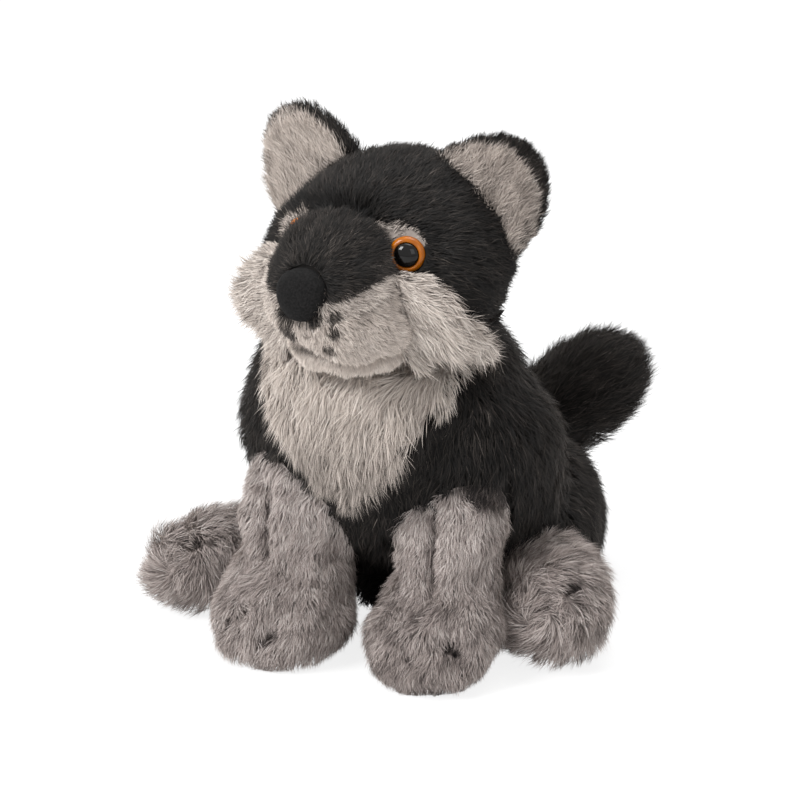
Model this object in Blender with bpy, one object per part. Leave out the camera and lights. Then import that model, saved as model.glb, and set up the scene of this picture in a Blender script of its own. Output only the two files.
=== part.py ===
"""Seated plush wolf pup.

Stuffed plush forms are lofted through oval sections and subdivided, and each one is cut
back by the neighbour that it is sewn to, so that a seam gap is left between them. The eyes
and the nose are turned pieces with a shank that a washer holds inside the head. The wolf
faces -Y, its left side is +X, and it sits on z = 0.
"""

from math import cos, pi, radians, sin, sqrt

import bmesh
import bpy
from mathutils import Matrix, Vector

MM = 0.001
SEAM_GAP = 0.3 * MM

# Torso: a pear-shaped body that leans forward over the front legs
TORSO_HEIGHT = 124 * MM
TORSO_WIDTH = 110 * MM
TORSO_DEPTH = 94 * MM
TORSO_SEAT_Y = 33 * MM
TORSO_LEAN = 38 * MM
BIB_WIDTH = 64 * MM
BIB_X = -2 * MM
BIB_TIP_X = 1.3 * MM
BIB_LENGTH = 62 * MM
BIB_PILE = 3.2 * MM

# Head, turned a little to the wolf's right
HEAD_WIDTH = 78 * MM
HEAD_HEIGHT = 64 * MM
HEAD_LENGTH = 66 * MM
HEAD_X = 4 * MM
HEAD_Y = -9 * MM
HEAD_Z = 145 * MM
HEAD_TURN = 10
BROW_SWELL = 3 * MM
CHEEK_SWELL = 10 * MM
LEFT_RUFF_PILE = 5 * MM
RIGHT_RUFF_PILE = 9 * MM
RUFF_WIDTH_SHARE = 1.24
RUFF_HEIGHT_SHARE = 0.74

# Muzzle and lower jaw
MUZZLE_LENGTH = 30 * MM
MUZZLE_WIDTH = 43 * MM
MUZZLE_HEIGHT = 40 * MM
MUZZLE_RISE = 0.5 * MM
MUZZLE_DROP = 7 * MM
PAD_SWELL = 9 * MM
PAD_SEAM_Z = 4.3 * MM
PAD_SEAM_SLOPE = 29
CHIN_WIDTH = 44 * MM
CHIN_HEIGHT = 20 * MM
CHIN_LENGTH = 17 * MM

# Ears: broad leaves with a lining seated in the front face
EAR_LENGTH = 33 * MM
EAR_WIDTH = 50 * MM
EAR_THICKNESS = 10 * MM
EAR_SPLAY = 43
LEFT_EAR_X = 22.5 * MM
RIGHT_EAR_X = -32.8 * MM
EAR_CUP = 4 * MM
EAR_LINING_SHARE = 0.8
EAR_LINING_THICKNESS = 5 * MM

# Front legs
FRONT_LEG_LENGTH = 74 * MM
FRONT_LEG_WIDTH = 41 * MM
FRONT_LEG_DEPTH = 36 * MM
FRONT_LEG_Y = -22 * MM
FRONT_PAW_REACH = 13 * MM
FRONT_LEG_CREASE = 3 * MM
LEFT_LEG_X = 29 * MM
RIGHT_LEG_X = -27 * MM
RIGHT_LEG_GIRTH = 1.1
LEG_LEAN = -5 * MM

# Hind legs: a thigh at each side of the seat and a foot that points forward
HAUNCH_WIDTH = 50 * MM
HAUNCH_LENGTH = 70 * MM
HAUNCH_HEIGHT = 70 * MM
HAUNCH_X = 34 * MM
HAUNCH_Y = 38 * MM
HIND_PAW_WIDTH = 42 * MM
HIND_PAW_HEIGHT = 42 * MM
LEFT_HIND_PAW = (62 * MM, -4 * MM)
RIGHT_HIND_PAW = (-80 * MM, -4 * MM)
RIGHT_HIND_PAW_GIRTH = 0.86

# Tail, swung up and to the wolf's left
TAIL_THICKNESS = 38 * MM
TAIL_ROOT = (6 * MM, 62 * MM, 38 * MM)
TAIL_BEND = (28 * MM, 78 * MM, 54 * MM)
TAIL_TIP = (57 * MM, 91 * MM, 82 * MM)

# Safety eyes and flocked nose, each with a shank and a washer
EYE_DIAMETER = 11.8 * MM
LEFT_EYE_X = 22 * MM
RIGHT_EYE_X = -18 * MM
EYE_RISE = 8 * MM
EYE_TURN = 24
EYE_RIM = 1.6 * MM
EYE_DOME = 0.9 * MM
EYE_SEAT_DEPTH = 1.2 * MM
PUPIL_DIAMETER = 8.2 * MM
PUPIL_HEIGHT = 1.9 * MM
NOSE_DIAMETER = 17 * MM
NOSE_THICKNESS = 7 * MM
NOSE_SEAT_DEPTH = 3 * MM
NOSE_TILT = 12
SHANK_DIAMETER = 3.4 * MM
SHANK_LENGTH = 9 * MM
WASHER_DIAMETER = 10 * MM
WASHER_THICKNESS = 1.6 * MM
WASHER_DEPTH = 4.5 * MM

X = Vector((1, 0, 0))
Y = Vector((0, 1, 0))
Z = Vector((0, 0, 1))


# Facets round each turned piece, and cage sides round each stuffed form
TURNED_SIDES = 14
BODY_SIDES = 12
LIMB_SIDES = 10
EAR_SIDES = 8


def clear_scene():
    for item in list(bpy.data.objects):
        bpy.data.objects.remove(item, do_unlink=True)


def material(name, colour, roughness):
    """Principled material whose colour is given in screen values from 0 to 255."""
    made = bpy.data.materials.new(name)
    made.use_nodes = True
    shader = made.node_tree.nodes["Principled BSDF"]
    linear = [((c / 255 + 0.055) / 1.055) ** 2.4 for c in colour]
    shader.inputs["Base Color"].default_value = (*linear, 1)
    shader.inputs["Roughness"].default_value = roughness
    shader.inputs["Metallic"].default_value = 0
    made.diffuse_color = (*linear, 1)
    return made


def link(name, mesh, finish, parent=None):
    item = bpy.data.objects.new(name, mesh)
    bpy.context.scene.collection.objects.link(item)
    item.parent = parent
    if finish:
        mesh.materials.append(finish)
    return item


def hide_tool(item):
    item.hide_render = True
    item.display_type = "WIRE"
    return item


def finish_mesh(name, bm):
    bmesh.ops.recalc_face_normals(bm, faces=bm.faces)
    mesh = bpy.data.meshes.new(name)
    bm.to_mesh(mesh)
    bm.free()
    mesh.shade_smooth()
    return mesh


def loft_mesh(name, sections, count):
    """Closed cage through oval sections, each end closed by a fan to a pole.

    A section is (centre, side axis, rise axis, half side, half rise); its points are
    centre + side * half side * cos a + rise * half rise * sin a.
    """
    bm = bmesh.new()
    angles = [2 * pi * i / count for i in range(count)]
    rings = []
    for centre, side, rise, half_side, half_rise in sections:
        points = [centre + side * (half_side * cos(a)) + rise * (half_rise * sin(a)) for a in angles]
        rings.append([bm.verts.new(p) for p in points])
    for low, high in zip(rings, rings[1:]):
        for i in range(count):
            j = (i + 1) % count
            bm.faces.new((low[i], low[j], high[j], high[i]))
    for rim, (centre, near) in ((rings[0], (sections[0][0], sections[1][0])),
                                (rings[-1], (sections[-1][0], sections[-2][0]))):
        pole = bm.verts.new(centre + (centre - near) * 0.3)
        for i in range(count):
            bm.faces.new((rim[i], rim[(i + 1) % count], pole))
    return finish_mesh(name, bm)


def pull(mesh, centre, radius, offset):
    """Soft move: points near the centre shift by the offset, fading to none at the radius."""
    for vertex in mesh.vertices:
        share = 1 - (vertex.co - centre).length / radius
        if share > 0:
            vertex.co += offset * (share * share * (3 - 2 * share))


def subdivide(item, levels=1):
    smooth = item.modifiers.new("stuffing", "SUBSURF")
    smooth.levels = levels
    smooth.render_levels = levels
    return item


def inflated(item, amount):
    """Wire copy of a stuffed form, moved out along its normals, to cut or trim others with."""
    copy = hide_tool(link(item.name + "_grown", item.data, None, item.parent))
    for source in item.modifiers:
        if source.type == "SUBSURF":
            subdivide(copy, source.levels)
    grow = copy.modifiers.new("grow", "DISPLACE")
    grow.mid_level = 0
    grow.strength = amount
    return copy


def boolean(item, tool, operation="DIFFERENCE"):
    step = item.modifiers.new(operation.lower(), "BOOLEAN")
    step.operation = operation
    step.solver = "EXACT"
    step.object = tool
    return item


def cut(item, *tools):
    for tool in tools:
        boolean(item, tool)


def prism_mesh(name, outline, near_y, far_y):
    """Outline of (x, z) points carried along Y from near_y to far_y."""
    bm = bmesh.new()
    front = [bm.verts.new((x, near_y, z)) for x, z in outline]
    back = [bm.verts.new((x, far_y, z)) for x, z in outline]
    count = len(outline)
    bm.faces.new(front)
    bm.faces.new(back[::-1])
    for i in range(count):
        j = (i + 1) % count
        bm.faces.new((front[j], front[i], back[i], back[j]))
    return finish_mesh(name, bm)


def turned_mesh(name, profile):
    """Profile of (radius, height) points turned round the Z axis."""
    bm = bmesh.new()
    verts = [bm.verts.new((radius, 0, height)) for radius, height in profile]
    edges = [bm.edges.new(pair) for pair in zip(verts, verts[1:])]
    if profile[0][0] > 0:
        edges.append(bm.edges.new((verts[-1], verts[0])))
    bmesh.ops.spin(bm, geom=verts + edges, cent=(0, 0, 0), axis=(0, 0, 1), angle=2 * pi,
                   steps=TURNED_SIDES, use_merge=True)
    bmesh.ops.remove_doubles(bm, verts=bm.verts, dist=0.00001)
    mesh = finish_mesh(name, bm)
    mesh.set_sharp_from_angle(angle=radians(40))
    return mesh


def floor_tool():
    """Block below z = 0, which flattens whatever rests on the floor."""
    size = 0.4
    mesh = bpy.data.meshes.new("floor_tool")
    bm = bmesh.new()
    bmesh.ops.create_cube(bm, size=size, matrix=Matrix.Translation((0, 0, -size / 2)))
    bm.to_mesh(mesh)
    bm.free()
    return hide_tool(link("floor_tool", mesh, None))


# Shares of the torso's height, lean, width and depth at each of its sections, seat first
TORSO_PROFILE = (
    (-0.06, -0.12, 0.70, 0.52),
    (0.05, -0.10, 0.93, 0.73),
    (0.19, 0.05, 1.00, 0.91),
    (0.36, 0.40, 0.98, 1.02),
    (0.52, 0.66, 1.02, 1.04),
    (0.67, 0.86, 1.07, 0.98),
    (0.81, 0.96, 0.98, 0.86),
    (0.92, 1.00, 0.74, 0.66),
    (0.98, 1.00, 0.34, 0.36),
)


def make_torso(black):
    sections = []
    for height, lean, width, depth in TORSO_PROFILE:
        centre = Vector((0, TORSO_SEAT_Y - lean * TORSO_LEAN, height * TORSO_HEIGHT))
        sections.append((centre, X, Y, width * TORSO_WIDTH / 2, depth * TORSO_DEPTH / 2))
    return subdivide(link("torso", loft_mesh("torso", sections, BODY_SIDES), black))


# Shares of the head's length, height of centre, width and height, face first
HEAD_PROFILE = (
    (-0.56, 0.00, 0.34, 0.36),
    (-0.49, 0.00, 0.74, 0.76),
    (-0.32, -0.02, 0.96, 0.95),
    (-0.10, -0.02, 1.04, 1.04),
    (0.14, 0.00, 1.02, 1.04),
    (0.33, 0.00, 0.86, 0.88),
    (0.46, -0.02, 0.54, 0.54),
    (0.51, -0.02, 0.24, 0.24),
)


def make_head(black, axis):
    sections = []
    for along, rise, width, height in HEAD_PROFILE:
        centre = Vector((0, along * HEAD_LENGTH, rise * HEAD_HEIGHT))
        sections.append((centre, X, Z, width * HEAD_WIDTH / 2, height * HEAD_HEIGHT / 2))
    mesh = loft_mesh("head", sections, BODY_SIDES)
    brow = Vector((0, -0.45 * HEAD_LENGTH, 0.28 * HEAD_HEIGHT))
    pull(mesh, brow, 0.34 * HEAD_HEIGHT, -Y * BROW_SWELL)
    for side in (-1, 1):
        cheek = Vector((side * 0.42 * HEAD_WIDTH, -0.30 * HEAD_LENGTH, -0.20 * HEAD_HEIGHT))
        pull(mesh, cheek, 0.46 * HEAD_WIDTH, (X * side - Y * 0.3) * CHEEK_SWELL)
    return subdivide(link("head", mesh, black, axis))


# Shares of the muzzle's reach past the face, drop, width and height, root first
MUZZLE_PROFILE = (
    (-0.70, 0.00, 0.60, 0.60),
    (-0.40, 0.00, 0.98, 0.98),
    (0.00, 0.10, 1.04, 1.04),
    (0.35, 0.35, 1.02, 1.00),
    (0.68, 0.70, 0.90, 0.88),
    (0.90, 0.95, 0.66, 0.66),
    (0.98, 1.00, 0.34, 0.34),
)


def make_muzzle(black, axis):
    """Snout whose lower sides swell into the pads."""
    face = -0.5 * HEAD_LENGTH
    sections = []
    for along, drop, width, height in MUZZLE_PROFILE:
        centre = Vector((0, face - along * MUZZLE_LENGTH, MUZZLE_RISE - drop * MUZZLE_DROP))
        sections.append((centre, X, Z, width * MUZZLE_WIDTH / 2, height * MUZZLE_HEIGHT / 2))
    mesh = loft_mesh("muzzle", sections, BODY_SIDES)
    for side in (-1, 1):
        pad = Vector((side * 0.36 * MUZZLE_WIDTH, face - 0.3 * MUZZLE_LENGTH, -0.3 * MUZZLE_HEIGHT))
        pull(mesh, pad, 0.4 * MUZZLE_WIDTH, (X * side - Z * 0.2) * PAD_SWELL)
    return subdivide(link("muzzle", mesh, black, axis))


def seam_block(name, lift, axis):
    """Wire block under the sloping seam between the black bridge and the pale pads."""
    face = -0.5 * HEAD_LENGTH
    reach = 2 * MUZZLE_LENGTH
    rise = reach * sin(radians(PAD_SEAM_SLOPE))
    base = PAD_SEAM_Z - HEAD_HEIGHT
    outline = [(face - reach, base), (face + reach, base), (face + reach, PAD_SEAM_Z + rise + lift),
               (face - reach, PAD_SEAM_Z - rise + lift)]
    mesh = prism_mesh(name, [(y, z) for y, z in outline], -HEAD_WIDTH, HEAD_WIDTH)
    mesh.transform(Matrix.Rotation(radians(90), 4, "Z"))
    return hide_tool(link(name, mesh, None, axis))


CHIN_PROFILE = (
    (-0.90, 0.60),
    (-0.40, 0.96),
    (0.20, 1.00),
    (0.65, 0.84),
    (0.92, 0.50),
)


def make_chin(pale, axis):
    face = -0.5 * HEAD_LENGTH
    level = MUZZLE_RISE - MUZZLE_DROP - 0.5 * MUZZLE_HEIGHT + 0.04 * CHIN_HEIGHT
    sections = []
    for along, size in CHIN_PROFILE:
        centre = Vector((0, face - along * CHIN_LENGTH, level))
        sections.append((centre, X, Z, size * CHIN_WIDTH / 2, size * CHIN_HEIGHT / 2))
    return subdivide(link("chin", loft_mesh("chin", sections, LIMB_SIDES), pale, axis))


EAR_PROFILE = (
    (-0.30, 0.80, 1.00),
    (0.02, 1.00, 1.00),
    (0.36, 0.96, 0.92),
    (0.68, 0.78, 0.80),
    (0.90, 0.50, 0.62),
    (0.99, 0.22, 0.36),
)


def ear_sections(root_x, share, thickness, forward):
    """Ovals along the ear, from its root in the head to its tip, on the root's side."""
    side = 1 if root_x > 0 else -1
    splay = radians(EAR_SPLAY)
    along = Vector((side * sin(splay), 0.10, cos(splay))).normalized()
    across = Vector((side * cos(splay), 0, -sin(splay)))
    facing = across.cross(along).normalized()
    facing = facing if facing.y < 0 else -facing
    root = Vector((root_x, 0.06 * HEAD_LENGTH, 0.17 * HEAD_HEIGHT))
    sections = []
    for reach, width, thick in EAR_PROFILE:
        middle = root + along * (reach * EAR_LENGTH * share) + facing * forward
        sections.append((middle, across, facing, width * share * EAR_WIDTH / 2, thick * thickness / 2))
    return sections, along, across, facing, root


def make_ear(root_x, name, black, pale, axis):
    sections, along, across, facing, root = ear_sections(root_x, 1, EAR_THICKNESS, 0)
    mesh = loft_mesh(name, sections, EAR_SIDES)
    bowl = root + along * (0.55 * EAR_LENGTH)
    pull(mesh, bowl, 0.5 * EAR_WIDTH, -facing * EAR_CUP)
    ear = subdivide(link(name, mesh, black, axis))
    sections = ear_sections(root_x, EAR_LINING_SHARE, EAR_LINING_THICKNESS,
                            0.5 * EAR_THICKNESS - 0.25 * EAR_LINING_THICKNESS)[0]
    mesh = loft_mesh(name + "_lining", sections, EAR_SIDES)
    pull(mesh, bowl, 0.5 * EAR_WIDTH, -facing * EAR_CUP)
    lining = subdivide(link(name + "_lining", mesh, pale, axis))
    return ear, lining


# Shares of the leg's length, forward reach, width and depth, paw first
FRONT_LEG_PROFILE = (
    (-0.07, 1.00, 0.50, 0.60),
    (0.03, 1.05, 0.92, 1.02),
    (0.14, 1.02, 1.14, 1.24),
    (0.28, 0.72, 1.12, 1.16),
    (0.46, 0.34, 1.02, 1.02),
    (0.66, 0.14, 1.00, 0.98),
    (0.84, 0.02, 0.98, 0.92),
    (0.95, -0.20, 0.76, 0.68),
    (0.99, -0.30, 0.40, 0.36),
)


def make_front_leg(name, centre_x, lean_x, girth, grey):
    sections = []
    for height, reach, width, depth in FRONT_LEG_PROFILE:
        x = centre_x + lean_x * (1 - height)
        centre = Vector((x, FRONT_LEG_Y - reach * FRONT_PAW_REACH, height * FRONT_LEG_LENGTH))
        half_width = girth * width * FRONT_LEG_WIDTH / 2
        sections.append((centre, X, Y, half_width, depth * FRONT_LEG_DEPTH / 2))
    mesh = loft_mesh(name, sections, LIMB_SIDES)
    for height in (0.46, 0.58, 0.70):
        front = Vector((centre_x, FRONT_LEG_Y - 0.5 * FRONT_LEG_DEPTH, height * FRONT_LEG_LENGTH))
        pull(mesh, front, 0.24 * FRONT_LEG_WIDTH, Y * FRONT_LEG_CREASE)
    return subdivide(link(name, mesh, grey))


HAUNCH_PROFILE = (
    (-0.46, -0.05, 0.40, 0.42),
    (-0.36, -0.04, 0.80, 0.76),
    (-0.12, 0.00, 1.02, 1.02),
    (0.16, 0.00, 1.02, 1.02),
    (0.38, -0.05, 0.78, 0.78),
    (0.47, -0.08, 0.40, 0.42),
)


def make_haunch(name, side, black):
    middle = Vector((side * HAUNCH_X, HAUNCH_Y, 0.44 * HAUNCH_HEIGHT))
    sections = []
    for along, rise, width, height in HAUNCH_PROFILE:
        centre = middle + Y * (along * HAUNCH_LENGTH) + Z * (rise * HAUNCH_HEIGHT)
        sections.append((centre, X, Z, width * HAUNCH_WIDTH / 2, height * HAUNCH_HEIGHT / 2))
    return subdivide(link(name, loft_mesh(name, sections, LIMB_SIDES), black))


# Shares of the foot's run from the thigh to its toes, and of its width
HIND_PAW_PROFILE = (
    (-0.10, 0.60),
    (0.18, 0.90),
    (0.52, 1.02),
    (0.80, 1.04),
    (1.02, 0.84),
    (1.13, 0.46),
)


def make_hind_paw(name, side, place, girth, grey):
    """Foot lofted from the middle of its thigh to the toes at the given place."""
    root = Vector((side * (HAUNCH_X + 0.1 * HAUNCH_WIDTH), HAUNCH_Y - 0.1 * HAUNCH_LENGTH, 0))
    toes = Vector((place[0], place[1] - 0.25 * HIND_PAW_WIDTH, 0))
    run = toes - root
    across = run.cross(Z).normalized()
    level = Z * (0.47 * girth * HIND_PAW_HEIGHT)
    sections = []
    for along, size in HIND_PAW_PROFILE:
        half_width = girth * size * HIND_PAW_WIDTH / 2
        half_height = girth * size * HIND_PAW_HEIGHT / 2
        sections.append((root + run * along + level, across, Z, half_width, half_height))
    return subdivide(link(name, loft_mesh(name, sections, LIMB_SIDES), grey))


TAIL_PROFILE = ((-0.02, 0.50), (0.14, 0.62), (0.34, 0.80), (0.56, 1.00), (0.76, 1.08),
                (0.91, 0.90), (0.99, 0.54))


def make_tail(black):
    """Loft along the curve that leaves the root, bends and ends at the tip."""
    root, bend, tip = Vector(TAIL_ROOT), Vector(TAIL_BEND), Vector(TAIL_TIP)
    sections = []
    for t, size in TAIL_PROFILE:
        centre = root * (1 - t) ** 2 + bend * (2 * t * (1 - t)) + tip * t ** 2
        along = ((bend - root) * (1 - t) + (tip - bend) * t).normalized()
        side = along.cross(Z).normalized()
        half = size * TAIL_THICKNESS / 2
        sections.append((centre, side, side.cross(along), half, half))
    return subdivide(link("tail", loft_mesh("tail", sections, LIMB_SIDES), black))


def make_bib(torso, pale):
    """Shell of long pile on the chest: the grown torso inside a V, less the torso."""
    top = HEAD_Z - 0.32 * HEAD_HEIGHT
    half = BIB_WIDTH / 2
    outline = [(BIB_X - half, top), (BIB_X - half, top - 0.40 * BIB_LENGTH),
               (-0.40 * half, top - 0.80 * BIB_LENGTH), (BIB_TIP_X, top - BIB_LENGTH),
               (0.36 * half, top - 0.80 * BIB_LENGTH), (BIB_X + 0.94 * half, top - 0.40 * BIB_LENGTH),
               (BIB_X + half, top)]
    wedge = link("chest_bib", prism_mesh("chest_bib", outline, -TORSO_DEPTH, -0.08 * TORSO_DEPTH), pale)
    boolean(wedge, inflated(torso, BIB_PILE), "INTERSECT")
    cut(wedge, inflated(torso, SEAM_GAP))
    return wedge


# Shares of the ruff's half width and height along its upper edge, outer end first
RUFF_EDGE = ((1, 0), (1, 0.42), (0.92, 0.50), (0.80, 0.66), (0.70, 0.84), (0.58, 1), (0, 1), (0, 0))


def make_ruff(name, side, pile, head, pale, axis):
    """Long pile over one cheek: the grown head inside half an apron, less the head."""
    half = RUFF_WIDTH_SHARE * HEAD_WIDTH / 2
    low = -0.7 * HEAD_HEIGHT
    height = RUFF_HEIGHT_SHARE * HEAD_HEIGHT
    outline = [(side * (x * half + SEAM_GAP / 2), low + z * height) for x, z in RUFF_EDGE]
    mesh = prism_mesh(name, outline, -0.9 * HEAD_LENGTH, -0.04 * HEAD_LENGTH)
    apron = link(name, mesh, pale, axis)
    boolean(apron, inflated(head, pile), "INTERSECT")
    cut(apron, inflated(head, SEAM_GAP))
    return apron


def surface_point(item, start, direction):
    """Where a line meets the stuffed form, in the form's own space."""
    graph = bpy.context.evaluated_depsgraph_get()
    hit, point, normal, index = item.evaluated_get(graph).ray_cast(start, direction)
    return point


def dome_profile(radius, rim, dome, steps=3):
    """Profile of a button: flat back at height 0, upright rim, domed front."""
    arc = [(radius * cos(a), rim + dome * sin(a)) for a in (pi / 2 * i / steps for i in range(steps))]
    return arc + [(0, rim + dome)]


def shank_profile():
    half = SHANK_DIAMETER / 2
    return [(0, -SHANK_LENGTH), (half, -SHANK_LENGTH), (half, 0)]


def socket_profile(radius, height):
    """Turned cutter for the seat, the bore of the shank and the pocket of the washer."""
    gap = SEAM_GAP
    bore = SHANK_DIAMETER / 2 + gap
    pocket = WASHER_DIAMETER / 2 + gap
    pocket_top = -WASHER_DEPTH + gap
    pocket_floor = -WASHER_DEPTH - WASHER_THICKNESS - gap
    return [(0, -SHANK_LENGTH - gap), (bore, -SHANK_LENGTH - gap), (bore, pocket_floor),
            (pocket, pocket_floor), (pocket, pocket_top), (bore, pocket_top), (bore, -gap),
            (radius + gap, -gap), (radius + gap, height), (0, height)]


def washer_profile():
    bore = SHANK_DIAMETER / 2 + SEAM_GAP
    rim = WASHER_DIAMETER / 2
    return [(bore, -WASHER_DEPTH - WASHER_THICKNESS), (rim, -WASHER_DEPTH - WASHER_THICKNESS),
            (rim, -WASHER_DEPTH), (bore, -WASHER_DEPTH)]


def place(item, point, outward):
    """Stand a turned piece on the point with its front along the outward direction."""
    item.location = point
    item.rotation_euler = outward.to_track_quat("Z", "Y").to_euler()
    return item


def make_fastened(name, seat, outward, front, radius, height, finish, plastic, axis):
    """Make a button with its shank and washer, and return the socket cutter that they need."""
    button = turned_mesh(name, shank_profile() + front)
    place(link(name, button, finish, axis), seat, outward)
    washer_name = name + "_washer"
    washer = link(washer_name, turned_mesh(washer_name, washer_profile()), plastic, axis)
    place(washer, seat, outward)
    mesh = turned_mesh(name + "_socket", socket_profile(radius, height + SEAM_GAP))
    return place(hide_tool(link(name + "_socket", mesh, None, axis)), seat, outward)


def make_eye(name, side, offset, head, amber, black, plastic, axis):
    """Amber button with a domed pupil on its flat; returns its socket cutter."""
    turn = radians(EYE_TURN)
    outward = Vector((side * sin(turn), -cos(turn), 0.12)).normalized()
    aim = Vector((offset, -0.5 * HEAD_LENGTH, EYE_RISE))
    seat = surface_point(head, aim + outward * HEAD_LENGTH, -outward) - outward * EYE_SEAT_DEPTH
    radius = EYE_DIAMETER / 2
    front = dome_profile(radius, EYE_RIM, EYE_DOME)
    flat = PUPIL_DIAMETER / 2 + SEAM_GAP
    level = EYE_RIM + EYE_DOME * sqrt(1 - (flat / radius) ** 2)
    front = [(radius, 0)] + [p for p in front if p[0] > flat] + [(flat, level), (0, level)]
    height = EYE_RIM + EYE_DOME + PUPIL_HEIGHT
    socket = make_fastened(name, seat, outward, front, radius, height, amber, plastic, axis)
    pupil_name = name.replace("eye", "pupil")
    pupil_radius = PUPIL_DIAMETER / 2
    profile = [(0, 0)] + dome_profile(pupil_radius, 0.2 * PUPIL_HEIGHT, 0.8 * PUPIL_HEIGHT)
    profile.insert(1, (pupil_radius, 0))
    pupil = link(pupil_name, turned_mesh(pupil_name, profile), black, axis)
    place(pupil, seat + outward * (level + SEAM_GAP), outward)
    return socket


def make_nose(muzzle, slate, plastic, axis):
    """Flocked button on the snout's tip; returns its socket cutter."""
    tilt = radians(NOSE_TILT)
    outward = Vector((0, -cos(tilt), sin(tilt)))
    level = MUZZLE_RISE - 0.1 * MUZZLE_DROP
    aim = Vector((0, -0.5 * HEAD_LENGTH - MUZZLE_LENGTH, level))
    seat = surface_point(muzzle, aim + outward * MUZZLE_LENGTH, -outward) - outward * NOSE_SEAT_DEPTH
    radius = NOSE_DIAMETER / 2
    rim = 0.35 * NOSE_THICKNESS
    front = [(0.9 * radius, 0)] + dome_profile(radius, rim, NOSE_THICKNESS - rim, 4)
    height = 1.5 * NOSE_THICKNESS
    return make_fastened("nose", seat, outward, front, radius, height, slate, plastic, axis)


def stand_on_origin(wolf):
    """Move the whole wolf so that the middle of its box's base is the origin."""
    bpy.context.view_layer.update()
    graph = bpy.context.evaluated_depsgraph_get()
    corners = []
    for item in bpy.data.objects:
        if item.type == "MESH" and not item.hide_render:
            solid = item.evaluated_get(graph)
            mesh = solid.to_mesh()
            corners += [item.matrix_world @ vertex.co for vertex in mesh.vertices]
            solid.to_mesh_clear()
    low_x, high_x = min(c.x for c in corners), max(c.x for c in corners)
    low_y, high_y = min(c.y for c in corners), max(c.y for c in corners)
    wolf.location = (-(low_x + high_x) / 2, -(low_y + high_y) / 2, 0)


def build():
    clear_scene()
    black = material("black plush", (38, 36, 35), 0.95)
    grey = material("grey plush", (150, 141, 138), 0.95)
    pale = material("pale plush", (196, 186, 178), 0.95)
    amber = material("amber plastic", (214, 132, 22), 0.2)
    gloss = material("black plastic", (8, 8, 8), 0.1)
    slate = material("slate flock", (44, 44, 50), 0.9)
    plain = material("washer plastic", (225, 225, 220), 0.4)
    wolf = bpy.data.objects.new("wolf", None)
    bpy.context.scene.collection.objects.link(wolf)
    floor = floor_tool()
    axis = bpy.data.objects.new("head_axis", None)
    bpy.context.scene.collection.objects.link(axis)
    axis.location = (HEAD_X, HEAD_Y, HEAD_Z)
    axis.rotation_euler = (0, 0, -radians(HEAD_TURN))

    torso = make_torso(black)
    head = make_head(black, axis)
    muzzle = make_muzzle(black, axis)
    chin = make_chin(pale, axis)
    bib = make_bib(torso, pale)
    legs = {"left": make_front_leg("left_front_leg", LEFT_LEG_X, LEG_LEAN, 1, grey),
            "right": make_front_leg("right_front_leg", RIGHT_LEG_X, LEG_LEAN, RIGHT_LEG_GIRTH, grey)}
    tail = make_tail(black)
    bpy.context.view_layer.update()

    torso_grown = inflated(torso, SEAM_GAP)
    head_grown = inflated(head, SEAM_GAP)
    muzzle_grown = inflated(muzzle, SEAM_GAP)
    chin_grown = inflated(chin, SEAM_GAP)
    eye_sockets = []
    for side, name, foot, girth, eye_x, ear_x, pile in (
            (1, "left", LEFT_HIND_PAW, 1, LEFT_EYE_X, LEFT_EAR_X, LEFT_RUFF_PILE),
            (-1, "right", RIGHT_HIND_PAW, RIGHT_HIND_PAW_GIRTH, RIGHT_EYE_X, RIGHT_EAR_X,
             RIGHT_RUFF_PILE)):
        leg = legs[name]
        leg_grown = inflated(leg, SEAM_GAP)
        haunch = make_haunch(name + "_haunch", side, black)
        paw = make_hind_paw(name + "_hind_paw", side, foot, girth, grey)
        haunch_grown = inflated(haunch, SEAM_GAP)
        ear, lining = make_ear(ear_x, name + "_ear", black, pale, axis)
        cut(leg, torso_grown, floor)
        cut(haunch, torso_grown, floor)
        cut(paw, torso_grown, haunch_grown, leg_grown, floor)
        cut(tail, haunch_grown)
        cut(bib, leg_grown)
        cut(ear, inflated(lining, SEAM_GAP), head_grown)
        cut(lining, head_grown)
        socket = make_eye(name + "_eye", side, eye_x, head, amber, gloss, plain, axis)
        cut(head, socket)
        eye_sockets.append(socket)
        ruff = make_ruff(name + "_cheek_ruff", side, pile, head, pale, axis)
        cut(ruff, muzzle_grown, chin_grown, torso_grown)
    cut(tail, torso_grown, floor)
    nose_socket = make_nose(muzzle, slate, plain, axis)
    pads = subdivide(link("muzzle_pads", muzzle.data.copy(), None, axis))
    pads.data.materials[0] = pale
    boolean(pads, seam_block("pad_side", 0, axis), "INTERSECT")
    cut(pads, head_grown, nose_socket)
    cut(muzzle, seam_block("bridge_side", SEAM_GAP, axis), head_grown, nose_socket, *eye_sockets)
    cut(chin, head_grown, muzzle_grown)
    cut(bib, head_grown, chin_grown, inflated(head, RIGHT_RUFF_PILE + SEAM_GAP))
    cut(torso, head_grown, chin_grown, floor)
    for item in bpy.data.objects:
        if item.parent is None and item is not wolf:
            item.parent = wolf
    stand_on_origin(wolf)


build()
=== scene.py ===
"""Looks of the seated plush wolf pup.

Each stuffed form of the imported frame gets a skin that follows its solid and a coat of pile
that is rooted in that skin. The eyes, pupils and nose are turned again more finely, and the
washers stay as packed. The studio and all meshes are in metres. In the sections of the pieces,
sizes and places are in millimetres, and p and n are rows of points and of normals.
"""

from math import cos, pi, radians, sin

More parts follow.
